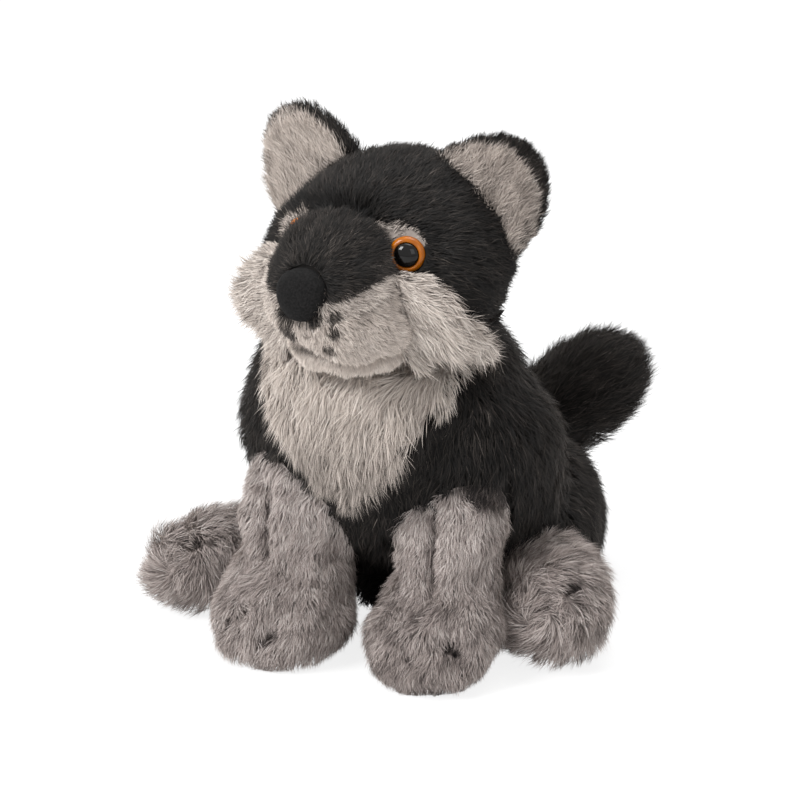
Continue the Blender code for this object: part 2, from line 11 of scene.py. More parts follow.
import bpy
import numpy as np
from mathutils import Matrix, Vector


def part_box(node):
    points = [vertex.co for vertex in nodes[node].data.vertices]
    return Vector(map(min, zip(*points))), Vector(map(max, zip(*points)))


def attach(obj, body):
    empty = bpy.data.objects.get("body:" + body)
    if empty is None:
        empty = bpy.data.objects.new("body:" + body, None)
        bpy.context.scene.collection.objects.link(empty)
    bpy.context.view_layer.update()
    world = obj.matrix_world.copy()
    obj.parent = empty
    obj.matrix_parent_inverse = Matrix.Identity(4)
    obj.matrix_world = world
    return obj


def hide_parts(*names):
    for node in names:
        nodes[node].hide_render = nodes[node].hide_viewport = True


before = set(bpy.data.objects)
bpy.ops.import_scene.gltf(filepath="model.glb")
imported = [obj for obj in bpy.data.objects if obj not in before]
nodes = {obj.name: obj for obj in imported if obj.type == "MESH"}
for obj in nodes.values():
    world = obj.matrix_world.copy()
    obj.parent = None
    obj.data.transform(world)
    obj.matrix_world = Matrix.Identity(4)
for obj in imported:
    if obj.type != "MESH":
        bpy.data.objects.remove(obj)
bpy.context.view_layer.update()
scene = bpy.context.scene
MM = 0.001


# Studio. The wolf sits on a plain white sweep under two wide soft boxes and a pale sky, and
# the camera stands a little above it and to its left, at the angle of the photograph.
class Wire:
    """A socket of a node tree. Operators on it add Math nodes, and node adds any other one."""

    def __init__(self, tree, socket=None):
        self.tree = tree
        self.socket = socket

    def node(self, kind, output=0, settings=None, **sockets):
        """Add a node: its settings first, then values or links of sockets, s3 for number 3."""
        made = self.tree.nodes.new(kind)
        for name, value in (settings or {}).items():
            if name == "stops":
                ramp = made.color_ramp
                while len(ramp.elements) < len(value):
                    ramp.elements.new(0.5)
                for element, (position, colour) in zip(ramp.elements, value):
                    element.position = position
                    element.color = (*colour, 1)
            else:
                setattr(made, name, value)
        for key, value in sockets.items():
            number = key[1:] if key[0] == "s" else ""
            socket = made.inputs[int(number) if number.isdigit() else key.replace("_", " ")]
            if isinstance(value, Wire):
                self.tree.links.new(value.socket, socket)
            else:
                socket.default_value = value
        return Wire(self.tree, made.outputs[output])

    def maths(self, operation, first, second):
        """A Math node that takes the two, each a socket or a number."""
        return self.node("ShaderNodeMath", settings={"operation": operation}, s0=first, s1=second)

    def __sub__(self, other):
        return self.maths("SUBTRACT", self, other)

    def __rsub__(self, other):
        return self.maths("SUBTRACT", other, self)

    def __mul__(self, other):
        return self.maths("MULTIPLY", self, other)


def screen(red, green, blue):
    """Linear colour of a screen colour from 0 to 255: ((c / 255 + 0.055) / 1.055) ** 2.4."""
    return tuple(((c / 255 + 0.055) / 1.055) ** 2.4 for c in (red, green, blue))


def link(name, data):
    """A new object of the mesh, lamp or camera data, in the scene."""
    made = bpy.data.objects.new(name, data)
    scene.collection.objects.link(made)
    return made


def sky(strength):
    """World of even pale light, which the camera and reflections see as plain white."""
    world = bpy.data.worlds.new("sky")
    scene.world = world
    world.use_nodes = True
    tree = world.node_tree
    tree.nodes.clear()
    start = Wire(tree)
    seen = start.node("ShaderNodeLightPath", "Is Camera Ray")
    glossy = start.node("ShaderNodeLightPath", "Is Glossy Ray")
    through = start.node("ShaderNodeLightPath", "Is Transmission Ray")
    light = start.node("ShaderNodeBackground", Color=(1, 1, 1, 1), Strength=strength)
    white = start.node("ShaderNodeBackground", Color=(1, 1, 1, 1), Strength=1.0)
    either = seen.maths("MAXIMUM", seen, glossy.maths("MAXIMUM", glossy, through))
    mixed = start.node("ShaderNodeMixShader", s0=either, s1=light, s2=white)
    output = tree.nodes.new("ShaderNodeOutputWorld")
    tree.links.new(mixed.socket, output.inputs["Surface"])


WOLF_MIDDLE = np.array([0.0, 0.0, 0.09])


def soft_box(name, place, side, watts):
    """Square lamp of the given side at the place, turned to the middle of the wolf."""
    lamp = bpy.data.lights.new(name, "AREA")
    lamp.size = side
    lamp.energy = watts
    made = link(name, lamp)
    away = np.array(place) - WOLF_MIDDLE
    made.location = place
    spread = float(np.hypot(away[0], away[1]))
    made.rotation_euler = (float(np.arctan2(spread, away[2])), 0,
                           float(np.arctan2(away[0], -away[1])))


scene.view_settings.view_transform = "Standard"
sky(strength=0.5)
soft_box("key_box", (-0.75, -1.15, 1.25), side=0.7, watts=31)
soft_box("fill_box", (1.2, -0.9, 0.8), side=0.9, watts=4)
soft_box("top_box", (0.1, 0.35, 1.4), side=0.9, watts=12)

VIEW_AZIMUTH = radians(22)
VIEW_ELEVATION = radians(20)
VIEW_DISTANCE = 1.2
AIM = (0.0074, -0.0142, 0.0800)
lens = bpy.data.cameras.new("camera")
lens.lens = 157.4
lens.sensor_width = 36
lens.shift_x = -0.0025
lens.shift_y = 0.0184
lens.clip_start = 0.01
camera = link("camera", lens)
camera.location = (AIM[0] + VIEW_DISTANCE * sin(VIEW_AZIMUTH) * cos(VIEW_ELEVATION),
                   AIM[1] - VIEW_DISTANCE * cos(VIEW_AZIMUTH) * cos(VIEW_ELEVATION),
                   AIM[2] + VIEW_DISTANCE * sin(VIEW_ELEVATION))
camera.rotation_euler = (pi / 2 - VIEW_ELEVATION, 0, VIEW_AZIMUTH)
scene.camera = camera

SWEEP_REACH = 4
SWEEP_GLOW = 1.12
GLOW_SHARE = 0.75
floor_mesh = bpy.data.meshes.new("floor")
sweep_corners = [(x * SWEEP_REACH, y * SWEEP_REACH, 0) for x, y in ((-1, -1), (1, -1), (1, 1), (-1, 1))]
floor_mesh.from_pydata(sweep_corners, [], [(0, 1, 2, 3)])
floor = link("floor", floor_mesh)
floor_finish = bpy.data.materials.new("white sweep")
floor_finish.use_nodes = True
tree = floor_finish.node_tree
tree.nodes.clear()
start = Wire(tree)
seen = start.node("ShaderNodeLightPath", "Is Camera Ray")
paper = start.node("ShaderNodeBsdfDiffuse", Color=(0.86, 0.86, 0.86, 1))
glow = start.node("ShaderNodeEmission", Color=(1, 1, 1, 1), Strength=SWEEP_GLOW)
lit = start.node("ShaderNodeMixShader", s0=seen * GLOW_SHARE, s1=paper, s2=glow)
tree.links.new(lit.socket, tree.nodes.new("ShaderNodeOutputMaterial").inputs["Surface"])
floor_mesh.materials.append(floor_finish)


# Torso: the stuffed body, sewn from black plush whose pile is laid down and gathers into small
# tufts. It is the first piece, so the tools of every coat are here: skins, roots, fibres and
# the plush finish.
WELD = 0.01 * MM


def read(collection, name, width, kind=np.float32):
    """A property of all items of a mesh's collection, as rows."""
    values = np.empty(len(collection) * width, kind)
    collection.foreach_get(name, values)
    return values.reshape(-1, width)


def unit(vectors):
    """Each row divided by its length."""
    return vectors / np.maximum(np.linalg.norm(vectors, axis=1, keepdims=True), 1e-9)


def merged(mesh):
    """Points and triangles of a mesh, with the points that share a place made one."""
    mesh.calc_loop_triangles()
    points = read(mesh.vertices, "co", 3)
    corners = read(mesh.loop_triangles, "vertices", 3, np.int32)
    keys = np.round(points / WELD).astype(np.int64)
    first, back = np.unique(keys, axis=0, return_index=True, return_inverse=True)[1:]
    faces = back.reshape(-1)[corners]
    whole = (faces[:, 0] != faces[:, 1]) & (faces[:, 1] != faces[:, 2]) & (faces[:, 2] != faces[:, 0])
    return points[first], faces[whole]


def evaluated(item):
    """A new mesh of the item with its modifiers applied."""
    graph = bpy.context.evaluated_depsgraph_get()
    return bpy.data.meshes.new_from_object(item.evaluated_get(graph))


def skin_of(name):
    """Points, normals and triangles of a solid's surface, merged and subdivided once."""
    points, faces = merged(nodes[name].data)
    mesh = bpy.data.meshes.new("cage")
    mesh.from_pydata(points, [], faces)
    cage = link("cage", mesh)
    cage.modifiers.new("smooth", "SUBSURF").levels = 1
    skin = evaluated(cage)
    bpy.data.objects.remove(cage)
    skin.calc_loop_triangles()
    return (read(skin.vertices, "co", 3), read(skin.vertex_normals, "vector", 3),
            read(skin.loop_triangles, "vertices", 3, np.int32))


def normals_of(points, faces):
    """Normal of each point: the sum of the areas of its faces as vectors, made unit."""
    a, b, c = (points[faces[:, i]] for i in range(3))
    facing = np.cross(b - a, c - a)
    total = np.zeros_like(points)
    for i in range(3):
        np.add.at(total, faces[:, i], facing)
    return unit(total)


def nearest(points, target, how="NEAREST_SURFACEPOINT"):
    """The place on the target that lies nearest to each point."""
    mesh = bpy.data.meshes.new("probe")
    mesh.vertices.add(len(points))
    mesh.vertices.foreach_set("co", points.astype(np.float32).ravel())
    probe = link("probe", mesh)
    wrap = probe.modifiers.new("wrap", "SHRINKWRAP")
    wrap.wrap_method = how
    wrap.target = target
    found = read(evaluated(probe).vertices, "co", 3)
    bpy.data.objects.remove(probe)
    return found


def neighbours_of(name):
    """One object of all the other solids, to find the seams and the hidden parts of a skin."""
    points, faces, count = [], [], 0
    for other, item in nodes.items():
        if other != name:
            p, f = merged(item.data)
            points.append(p)
            faces.append(f + count)
            count += len(p)
    mesh = bpy.data.meshes.new("others")
    mesh.from_pydata(np.concatenate(points), [], np.concatenate(faces))
    return link("others", mesh)


def ripple(points, size, seed):
    """Smooth noise of about -1 to 1: the mean of sine waves near that size in all directions."""
    rng = np.random.default_rng(seed)
    waves = unit(rng.normal(size=(10, 3))) * (2 * pi / size) * rng.uniform(0.7, 1.5, (10, 1))
    phase = rng.uniform(0, 2 * pi, 10)
    return np.sin(points @ waves.T + phase).mean(axis=1) * 2.2


def drift(points, size, seed):
    """Smooth noise as directions: three ripples, one along each axis."""
    return np.stack([ripple(points, size, seed + i) for i in range(3)], axis=1)


SEAM_COVER = 0.45
FACING_DOWN = -0.7


def roots_on(points, normals, faces, seam, solid, count, rng):
    """Even random places on the faces that are neither in a seam nor facing the ground.

    A place is a random mix of a face's corners, and faces are taken by their area. Returned are
    the places, their normals, the same places on the solid, and the whole area.
    """
    a, b, c = (points[faces[:, i]] for i in range(3))
    cross = np.cross(b - a, c - a)
    in_air = (seam[faces].min(axis=1) > SEAM_COVER) & (unit(cross)[:, 2] >= FACING_DOWN)
    area = 0.5 * np.linalg.norm(cross, axis=1) * in_air
    steps = np.cumsum(area) / area.sum()
    pick = np.searchsorted(steps, (np.arange(count) + rng.random(count)) / count)
    pick = pick.clip(0, len(area) - 1)
    u, v = rng.random(count), rng.random(count)
    over = u + v > 1
    u[over], v[over] = 1 - u[over], 1 - v[over]
    shares = np.stack([1 - u - v, u, v], axis=1)[:, :, None]
    place, normal, spot = ((rows[faces[pick]] * shares).sum(axis=1) for rows in (points, normals, solid))
    return place, unit(normal), spot, area.sum()


# How much the fibres' turn, lean and length differ, slowly over the whole toy and each by itself
SLOW_TURN = 0.60
OWN_TURN = 0.30
SLOW_LEAN = 0.20
OWN_LEAN = 0.14
SLOW_LENGTH = 0.12
OWN_LENGTH = 0.10
TWIST = 0.6


def fibres(root, normal, comb, length, lean, width, segments, tuft, gather, droop, rng):
    """Tapered ribbons from the roots: points, shading normals and shares of their length.

    At the share s of its length a fibre is at root + length * s * (normal * cos(angle) +
    along * sin(angle)). Along is the comb direction laid on the skin, and the angle goes from
    the first lean to the second. The fibre is then drawn to the middle of its tuft by gather *
    s to the power 1.4, and sinks by droop * length * s * s.
    """
    centres = root[rng.permutation(len(root))[:len(root) // tuft]]
    mesh = bpy.data.meshes.new("tufts")
    mesh.vertices.add(len(centres))
    mesh.vertices.foreach_set("co", centres.astype(np.float32).ravel())
    target = link("tufts", mesh)
    middle = nearest(root, target, "NEAREST_VERTEX")
    bpy.data.objects.remove(target)
    along = unit(comb - normal * (comb * normal).sum(axis=1, keepdims=True))
    across = np.cross(normal, along)
    turn = SLOW_TURN * ripple(middle, 1.7, 41) + OWN_TURN * rng.normal(size=len(root))
    along = unit(along + across * turn[:, None])
    across = np.cross(normal, along)
    stand = SLOW_LEAN * ripple(middle, 1.3, 57) + OWN_LEAN * rng.normal(size=len(root))
    uneven = SLOW_LENGTH * ripple(middle, 1.1, 71) + OWN_LENGTH * rng.normal(size=len(root))
    size = (length * (1 + uneven))[:, None]
    twist = rng.uniform(-TWIST, TWIST, len(root))[:, None]
    rows, shade, shares = [], [], []
    for step in range(segments + 1):
        s = step / segments
        angle = (radians(lean[0]) + (radians(lean[1]) - radians(lean[0])) * s + stand * s)[:, None]
        course = normal * np.cos(angle) + along * np.sin(angle)
        spine = root + size * s * course
        spine = spine + (middle - root) * (gather * s ** 1.4)
        spine[:, 2] -= droop * size[:, 0] * s * s
        half = 0.5 * width * (1 - 0.25 * s)
        side = across * np.cos(twist) + normal * np.sin(twist)
        flat = unit(np.cross(course, side))
        flat = flat * np.sign((flat * normal).sum(axis=1, keepdims=True) + 1e-9)
        soft = unit(0.5 * normal + 0.5 * flat)
        if step < segments:
            rows += [spine + side * half, spine - side * half]
            shade += [soft, soft]
            shares += [s, s]
        else:
            rows.append(spine)
            shade.append(soft)
            shares.append(s)
    return np.stack(rows, axis=1), np.stack(shade, axis=1), np.array(shares)


FLOOR_GAP = 0.12 * MM
EDGE_TONE = 0.006
SKIN_HEIGHT = 0.05
ROOT_HEIGHT = 0.12
TIP_HEIGHT = 0.98


def coat_mesh(name, skin, blades, tones):
    """Mesh of the skin's triangles and of the ribbons, with the coat's own map.

    On the map, u is the tone of a fibre or of a place on the skin, which differs a little from
    one edge of a ribbon to the other. v is the height in the pile, by which the finish paints
    shade: the skin's is lowest and gets the most, and a ribbon goes from the root's height to the tip's.
    """
    points, normals, faces, skin_tone = skin
    ribbon, shade, shares = blades
    count, width = ribbon.shape[:2]
    segments = (width - 1) // 2
    base = len(points) + np.arange(count)[:, None] * width
    last = 2 * segments
    loops = [base + np.array([[i, i + 1, i + 3, i + 2]]) for i in range(0, last - 2, 2)]
    loops.append(base + np.array([[last - 2, last - 1, last]]))
    loops = np.concatenate(loops, axis=1)
    sizes = np.array([4] * (segments - 1) + [3])
    starts = np.arange(count)[:, None] * sizes.sum() + np.concatenate([[0], np.cumsum(sizes)[:-1]])
    corners = np.concatenate([faces.ravel(), loops.ravel()]).astype(np.int32)
    begins = np.concatenate([np.arange(len(faces)) * 3, faces.size + starts.ravel()]).astype(np.int32)
    places = np.concatenate([points, ribbon.reshape(-1, 3)]).astype(np.float32)
    places[:, 2] = np.maximum(places[:, 2], FLOOR_GAP)
    mesh = bpy.data.meshes.new(name)
    mesh.vertices.add(len(places))
    mesh.vertices.foreach_set("co", places.ravel())
    mesh.loops.add(len(corners))
    mesh.loops.foreach_set("vertex_index", corners)
    mesh.polygons.add(len(begins))
    mesh.polygons.foreach_set("loop_start", begins)
    edge = np.where(np.arange(width) % 2 == 0, -EDGE_TONE, EDGE_TONE)
    edge[-1] = 0
    u = np.concatenate([skin_tone, (tones[:, None] + edge[None, :]).ravel()])
    # The skin's v is lowest, so it gets the deepest painted shade of the pile
    v_skin = SKIN_HEIGHT + 0.03 * ripple(points, 2.3 * MM, 5)
    v_ribbon = ROOT_HEIGHT + (TIP_HEIGHT - ROOT_HEIGHT) * shares
    v = np.concatenate([v_skin, np.tile(v_ribbon, count)])
    uv = np.stack([u, v], axis=1).clip(0.004, 0.996).astype(np.float32)
    layer = mesh.uv_layers.new(name="OFBake")
    layer.data.foreach_set("uv", uv[corners].ravel())
    mesh.update(calc_edges=True)
    mesh.validate()
    mesh.shade_smooth()
    vectors = np.concatenate([normals, shade.reshape(-1, 3)]).astype(np.float32)
    mesh.normals_split_custom_set_from_vertices(vectors)
    return mesh


PALE_FROM = 0.45
PALE_SLOPE = 6


def plush(name, shades, root_share, pale_lift=0.0, sheen=0.25):
    """Plush finish: colour by tone across u, times a painted shade that falls to the root's
    share at the roots.

    In a two-tone finish, pale_lift is the part of that darkening which a pale tone is spared.
    """
    made = bpy.data.materials.new(name)
    made.use_nodes = True
    shader = made.node_tree.nodes["Principled BSDF"]
    start = Wire(made.node_tree)
    place = start.node("ShaderNodeUVMap", settings={"uv_map": "OFBake"})
    tone = start.node("ShaderNodeSeparateXYZ", "X", Vector=place)
    height = start.node("ShaderNodeSeparateXYZ", "Y", Vector=place)
    colour = start.node("ShaderNodeValToRGB", settings={"stops": shades}, Fac=tone)
    # Painted shade in the pile: the colour falls to root_share at the roots and on the skin
    stops = ((0.0, (root_share,) * 3), (0.45, (0.5 + 0.5 * root_share,) * 3), (1.0, (1.0,) * 3))
    painted_root_shade = start.node("ShaderNodeValToRGB", settings={"stops": stops}, Fac=height)
    pale = (tone - PALE_FROM) * PALE_SLOPE
    pale = pale.maths("MAXIMUM", pale, 0.0)
    pale = pale.maths("MINIMUM", pale, 1.0)
    deep = start.node("ShaderNodeMix", 2, {"data_type": "RGBA", "blend_type": "MULTIPLY"},
                      s0=1.0 - pale * pale_lift, s6=colour, s7=painted_root_shade)
    made.node_tree.links.new(deep.socket, shader.inputs["Base Color"])
    shader.inputs["Roughness"].default_value = 0.72
    shader.inputs["Specular IOR Level"].default_value = 0.22
    shader.inputs["Sheen Weight"].default_value = sheen
    shader.inputs["Sheen Roughness"].default_value = 0.45
    shader.inputs["Sheen Tint"].default_value = (1.0, 0.86, 0.76, 1)
    return made


def ramp(values, start, end):
    """0 at the start, 1 at the end, straight between them and held beyond them."""
    return np.clip((values - start) / (end - start), 0, 1)


def no_rise(p, n):
    """0 at every point."""
    return np.zeros(len(p))


def from_line(p, line):
    """Distance in mm of each point from the line that runs through the places."""
    line = np.array(line, float)
    start, step = line[:-1], np.diff(line, axis=0)
    share = ((p[:, None] - start) * step).sum(axis=2) / (step ** 2).sum(axis=1)
    foot = start + np.clip(share, 0, 1)[:, :, None] * step
    return np.linalg.norm(p[:, None] - foot, axis=2).min(axis=1)


def beside_line(p, line, reach):
    """1 on the line, falling smoothly to 0 at the reach: near * near * (3 - 2 * near)."""
    near = ramp(from_line(p, line), reach, 0)
    return near * near * (3 - 2 * near)


# Each eye's middle, and the radius round it where the pile starts to grow from its shortest
EYES = ((27.4, -57.0, 153.0, 5.6), (-12.2, -51.0, 153.2, 3.4))
EYE_FADE = 5.0
SHORTEST = 0.22
SEAM_FADE = 3.5
report = []


def coat(name, finish, count, length, comb, tone, seed, inset=1.5, lean=(22, 58), lumps=0.5,
         width=0.30, segments=2, tuft=5, gather=0.5, droop=0.0, grain=0.10, shape=no_rise):
    """Cover a solid with its skin and its pile, and put the new piece in the solid's place.

    The functions length, comb, tone and shape take points in millimetres and normals. The skin
    rises from the solid by the shape, by lumps of about 11 mm and less the inset, and the last
    two fade towards the seams. The pile's length varies over patches of about 8 mm, its tone
    over patches of 3 and 9 mm and from fibre to fibre by the grain.
    """
    rng = np.random.default_rng(seed)
    points, normals, faces = skin_of(name)
    others = neighbours_of(name)
    seam = np.linalg.norm(points - nearest(points, others), axis=1) / MM
    bpy.data.objects.remove(others)
    free = np.clip(seam / SEAM_FADE, 0.1, 1)
    rise = shape(points / MM, normals) + free * (lumps * ripple(points / MM, 11.0, seed + 3) - inset)
    skin = points + normals * (rise * MM)[:, None]
    normals = normals_of(skin, faces)
    root, normal, spot, area = roots_on(skin, normals, faces, seam, points, count, rng)
    place = spot / MM
    from_eye = np.min([np.linalg.norm(place - eye[:3], axis=1) - eye[3] for eye in EYES], axis=0)
    size = length(place, normal) * np.clip(from_eye / EYE_FADE, SHORTEST, 1)
    size = size * (1 + 0.16 * ripple(place, 8.0, seed + 5))
    blades = fibres(root, normal, comb(place, normal), size * MM, lean,
                    width * MM, segments, tuft, gather, droop, rng)
    tones = tone(place, normal) + grain * rng.normal(size=count)
    tones = tones + 0.6 * grain * (ripple(place, 3.0, seed) + ripple(place, 9.0, seed + 9))
    under = tone(points / MM, normals) + 0.02 * ripple(points, 2 * MM, seed)
    mesh = coat_mesh(name + "_plush", (skin, normals, faces, under), blades, tones)
    piece = link(name + "_plush", mesh)
    mesh.materials.append(finish)
    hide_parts(name)
    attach(piece, "root")
    triangles = count * (2 * segments - 1) + len(faces)
    report.append(f"{name}: {area * 1e6:.0f} mm2, {count} fibres, {triangles} triangles")


def even(value):
    """The same value at every point."""
    return lambda p, n: np.full(len(p), float(value))


def laid(x, y, z):
    """Pile laid one way, with a slow drift as of handled plush."""
    return lambda p, n: np.array([x, y, z], float) + 0.35 * drift(p, 24.0, 3)


BLACK_SHADES = ((0.0, screen(5, 4, 4)), (0.22, screen(18, 16, 15)), (0.42, screen(66, 60, 56)),
                (0.52, screen(102, 95, 89)), (0.64, screen(160, 150, 143)),
                (0.80, screen(202, 191, 182)), (1.0, screen(230, 221, 213)))
black_plush = plush("black_plush", BLACK_SHADES, root_share=0.2, pale_lift=0.5, sheen=0.12)


def torso_tone(p, n):
    """Black, but pale at the front of the neck, where the ruff runs round under the chin."""
    left = 46 - 0.9 * (115 - p[:, 2])
    collar = ramp(p[:, 2], 101, 104) * ramp(p[:, 1], -22, -26)
    collar = collar * ramp(p[:, 0], -27, -23) * ramp(p[:, 0], left, left - 3)
    return 0.23 + 0.62 * collar


RIGHT_SHOULDER = ((-46, -28, 73), (-44, -28, 62))
LEFT_SHOULDER = ((53, -22, 100), (53, 18, 98))


def torso_shape(p, n):
    """The belly is drawn back low down, the left shoulder slopes and the right one is full."""
    belly = ramp(p[:, 2], 32, 18) * np.clip(-1.5 * n[:, 1], 0, 1)
    swell = beside_line(p, RIGHT_SHOULDER, 19)
    slope = beside_line(p, LEFT_SHOULDER, 24)
    return 5.0 * swell - 12 * belly - 5 * slope


coat("torso", black_plush, 43000, even(8.0), laid(0, 0.1, -1), torso_tone, 11,
     inset=2.5, lean=(24, 62), tuft=7, lumps=0.9, width=0.34, grain=0.085, shape=torso_shape)


# Chest bib: a V of pale plush with the longest pile on the toy, sewn into the chest. The pile
# hangs down and in towards the breastbone, with black pile beside it on the wolf's left.
PALE_SHADES = ((0.0, screen(30, 27, 26)), (0.2, screen(112, 104, 98)), (0.5, screen(194, 182, 173)),
               (0.8, screen(222, 211, 202)), (1.0, screen(240, 232, 225)))
pale_plush = plush("pale_plush", PALE_SHADES, root_share=0.6)


BREASTBONE = 4.0


def bib_comb(p, n):
    """Down, and in towards the breastbone by the distance from it over 75."""
    aside = p[:, 0] - BREASTBONE
    fall = np.stack([-aside / 75, np.full(len(p), -0.1), -np.ones(len(p))], axis=1)
    return fall + 0.55 * drift(p, 11.0, 7)


def bib_length(p, n):
    """Longest high on the chest, and shorter along both sides."""
    high = ramp(p[:, 2], 65, 95)
    sides = ramp(np.abs(p[:, 0] - BREASTBONE - 1), 18, 27)
    return (9.0 + 4.5 * high) * (1 - 0.4 * sides)


def bib_tone(p, n):
    """Pale, with painted shade lower down and painted light high under the chin, over one pale
    fabric, and black beside the V on the wolf's left.
    """
    edge = np.interp(p[:, 2], (63, 74, 80, 89, 97, 104), (5, 13, 20, 27, 33, 40))
    # Painted shade and light: the pale darkens lower down and is lightest under the chin
    pale = np.interp(p[:, 2], (62, 85, 110), (0.57, 0.67, 0.88))
    return np.where(p[:, 0] < edge, pale, 0.23)


coat("chest_bib", black_plush, 13000, bib_length, bib_comb, bib_tone, 12,
     inset=1.0, lean=(14, 52), segments=3, tuft=9, gather=0.6, droop=0.12, width=0.30, grain=0.07)


# Head: stuffed black plush with short pile combed back from the face, a light patch over each
# eye, and a brow seam between the eyes that draws the face in.
HEAD_CENTRE = np.array([11.4, -23.0, 145.0])
HEAD_TURN = radians(-10)
AHEAD = np.array([sin(HEAD_TURN), -cos(HEAD_TURN), 0])
ASIDE = np.array([cos(HEAD_TURN), sin(HEAD_TURN), 0])


def head_comb(p, n):
    """Back and down from the middle of the face, more to the sides lower down."""
    away = unit(p - (HEAD_CENTRE + AHEAD * 34 + np.array([0, 0, 6])))
    return -0.7 * AHEAD + 0.9 * away + np.array([0, 0, -0.25]) + 0.3 * drift(p, 18.0, 9)


EYE_PATCH = ((16.4, -59.6, 158.4, 4.4), (22.4, -58.5, 158.8, 4.8), (27.6, -57.2, 158.0, 4.1),
             (30.4, -56.8, 156.6, 2.8), (19.5, -60.5, 154.0, 4.6), (-15.5, -51.0, 158.6, 4.6),
             (-19.5, -48.0, 154.0, 5.0))


def in_spots(p, spots):
    """1 inside any ball (x, y, z, radius), fading to 0 over a sixth of its radius."""
    inside = np.zeros(len(p))
    for x, y, z, radius in spots:
        gap = np.linalg.norm(p - np.array([x, y, z]), axis=1) / radius
        inside = np.maximum(inside, ramp(gap, 1, 5 / 6))
    return inside


BROW_LINE = ((-12, -50.5, 162.0), (-4, -54.0, 163.6), (4, -56.4, 164.2), (12, -58.2, 163.2))


def head_length(p, n):
    """Short, and shorter still in the patches over the eyes."""
    return 5.8 - 3.0 * in_spots(p, EYE_PATCH)


def head_tone(p, n):
    """Black, light in the patches over the eyes, and blackest along the brow seam, with painted shade in
    its groove.
    """
    # Painted shade along the groove of the brow seam
    return 0.20 + 0.45 * in_spots(p, EYE_PATCH) - 0.15 * beside_line(p, BROW_LINE, 5.0)


def head_shape(p, n):
    """Drawn in by 3 mm along the brow seam."""
    return -3.0 * beside_line(p, BROW_LINE, 6.0)


coat("head", black_plush, 36000, head_length, head_comb, head_tone, 13,
     inset=2.0, lean=(24, 60), tuft=6, lumps=0.7, grain=0.085, shape=head_shape)


# Cheek ruffs: two half aprons of long pale pile under the head, one on each cheek. The pile
# is short beside the muzzle and stands out from it, back and down, over the seam of the neck.
MOUTH = np.array([5.0, -66.0, 144.0])


def ruff_comb(p, n):
    """Away from the mouth, and down, more so low under the cheek."""
    low = ramp(p[:, 2], 126, 116)[:, None]
    lift = np.where(p[:, :1] < 0, 0.0, -0.3) - 0.6 * low
    away = unit(p - MOUTH) + lift * np.array([0, 0, 1]) + np.array([0, 0.1, 0])
    return away + 0.35 * drift(p, 10.0, 17)


def beside_pads(p):
    """Distance in mm from the muzzle's pads."""
    return np.linalg.norm(p - nearest(p * MM, nodes["muzzle_pads"]) / MM, axis=1)


def ruff_pale(p):
    """1 below a line that falls from the wolf's left eye round to its neck, and 0 above it."""
    aside = (p - HEAD_CENTRE) @ ASIDE
    around = np.degrees(np.arctan2(aside, (p - HEAD_CENTRE) @ AHEAD))
    line = np.interp(around, (0, 43, 52, 60, 104), (200, 147, 137, 127, 110))
    return np.clip((line - p[:, 2]) * 0.6 + 0.5, 0, 1)


def ruff_length(p, n):
    """Longer with the distance from the muzzle and low down, and short where it is black."""
    size = np.clip(3.0 + 0.5 * beside_pads(p), 3.0, 10.0) + 7 * ramp(p[:, 2], 123, 114)
    return size * (0.45 + 0.55 * ruff_pale(p))


def ruff_tone(p, n):
    """Pale, with painted shade beside the muzzle, in the crease by the pads, and black as the head above
    the line.
    """
    # Painted shade: the pale deepens within 3 mm of the pads
    pale = 0.58 - 0.16 * ramp(beside_pads(p), 3, 0)
    return 0.22 + pale * ruff_pale(p)


for side, seed in (("left", 14), ("right", 15)):
    coat(side + "_cheek_ruff", black_plush, 8000, ruff_length, ruff_comb, ruff_tone, seed,
         inset=1.0, lean=(16, 56), segments=3, tuft=8, gather=0.55, droop=0.05, width=0.28,
         shape=lambda p, n: 3.0 * ruff_pale(p) - 3.0)


# Muzzle: a black bridge and two pale pads below it, each sewn from short pile. The philtrum and
# the whisker spots are brushed in dark, and the pile runs back from the nose.
NOSE_PLACE = np.array([0.6, -80.0, 145.0])
WHISKER_SPOTS = ((5.2, -85.2, 135.6, 1.9), (11.6, -84.6, 138.6, 2.3), (11.7, -83.2, 134.0, 2.0),
                 (9.8, -82.2, 129.8, 2.1), (2.8, -83.4, 131.4, 2.1), (-14.0, -75.0, 134.0, 1.9),
                 (-11.0, -78.0, 130.0, 1.8))
# Line of the mouth on the chin, darkened there mostly as painted shade under the pads
MOUTH_LINE = ((-11.0, -65.5, 121.2), (-6.9, -68.5, 121.0), (-1.6, -70.8, 121.4), (6.3, -72.1, 122.2))


def muzzle_comb(p, n):
    """Away from the nose, back and down."""
    return unit(p - NOSE_PLACE) - 0.5 * AHEAD + np.array([0, 0, -0.4]) + 0.3 * drift(p, 7.0, 19)


def pad_tone(p, n):
    """Pale, but for the dark strip under the nose, the whisker spots, and painted shade along the lower
    edge over the mouth.
    """
    aside = (p - HEAD_CENTRE) @ ASIDE
    beside = np.abs(aside + 4.8 + 0.45 * np.clip(p[:, 1] + 83, 0, 20))
    strip = np.clip((2.8 - beside) * 1.5, 0, 1) * (p[:, 1] < -66)
    # Painted shade along the pads' lower edge, where it hangs over the chin
    edge = 126.5 + 0.3 * np.clip(-3 - aside, 0, 10)
    painted_lip_shade = 0.9 * ramp(p[:, 2], edge, edge - 2) * ramp(aside, 6, 2)
    return 0.56 - 0.5 * np.maximum(np.maximum(strip, painted_lip_shade), in_spots(p, WHISKER_SPOTS))


def pad_shape(p, n):
    """The lower edge of the wolf's left lobe hangs down to the chin."""
    aside = (p - HEAD_CENTRE) @ ASIDE
    return 7.0 * np.clip(-1.3 * n[:, 2], 0, 1) * ramp(aside, 1, 11)


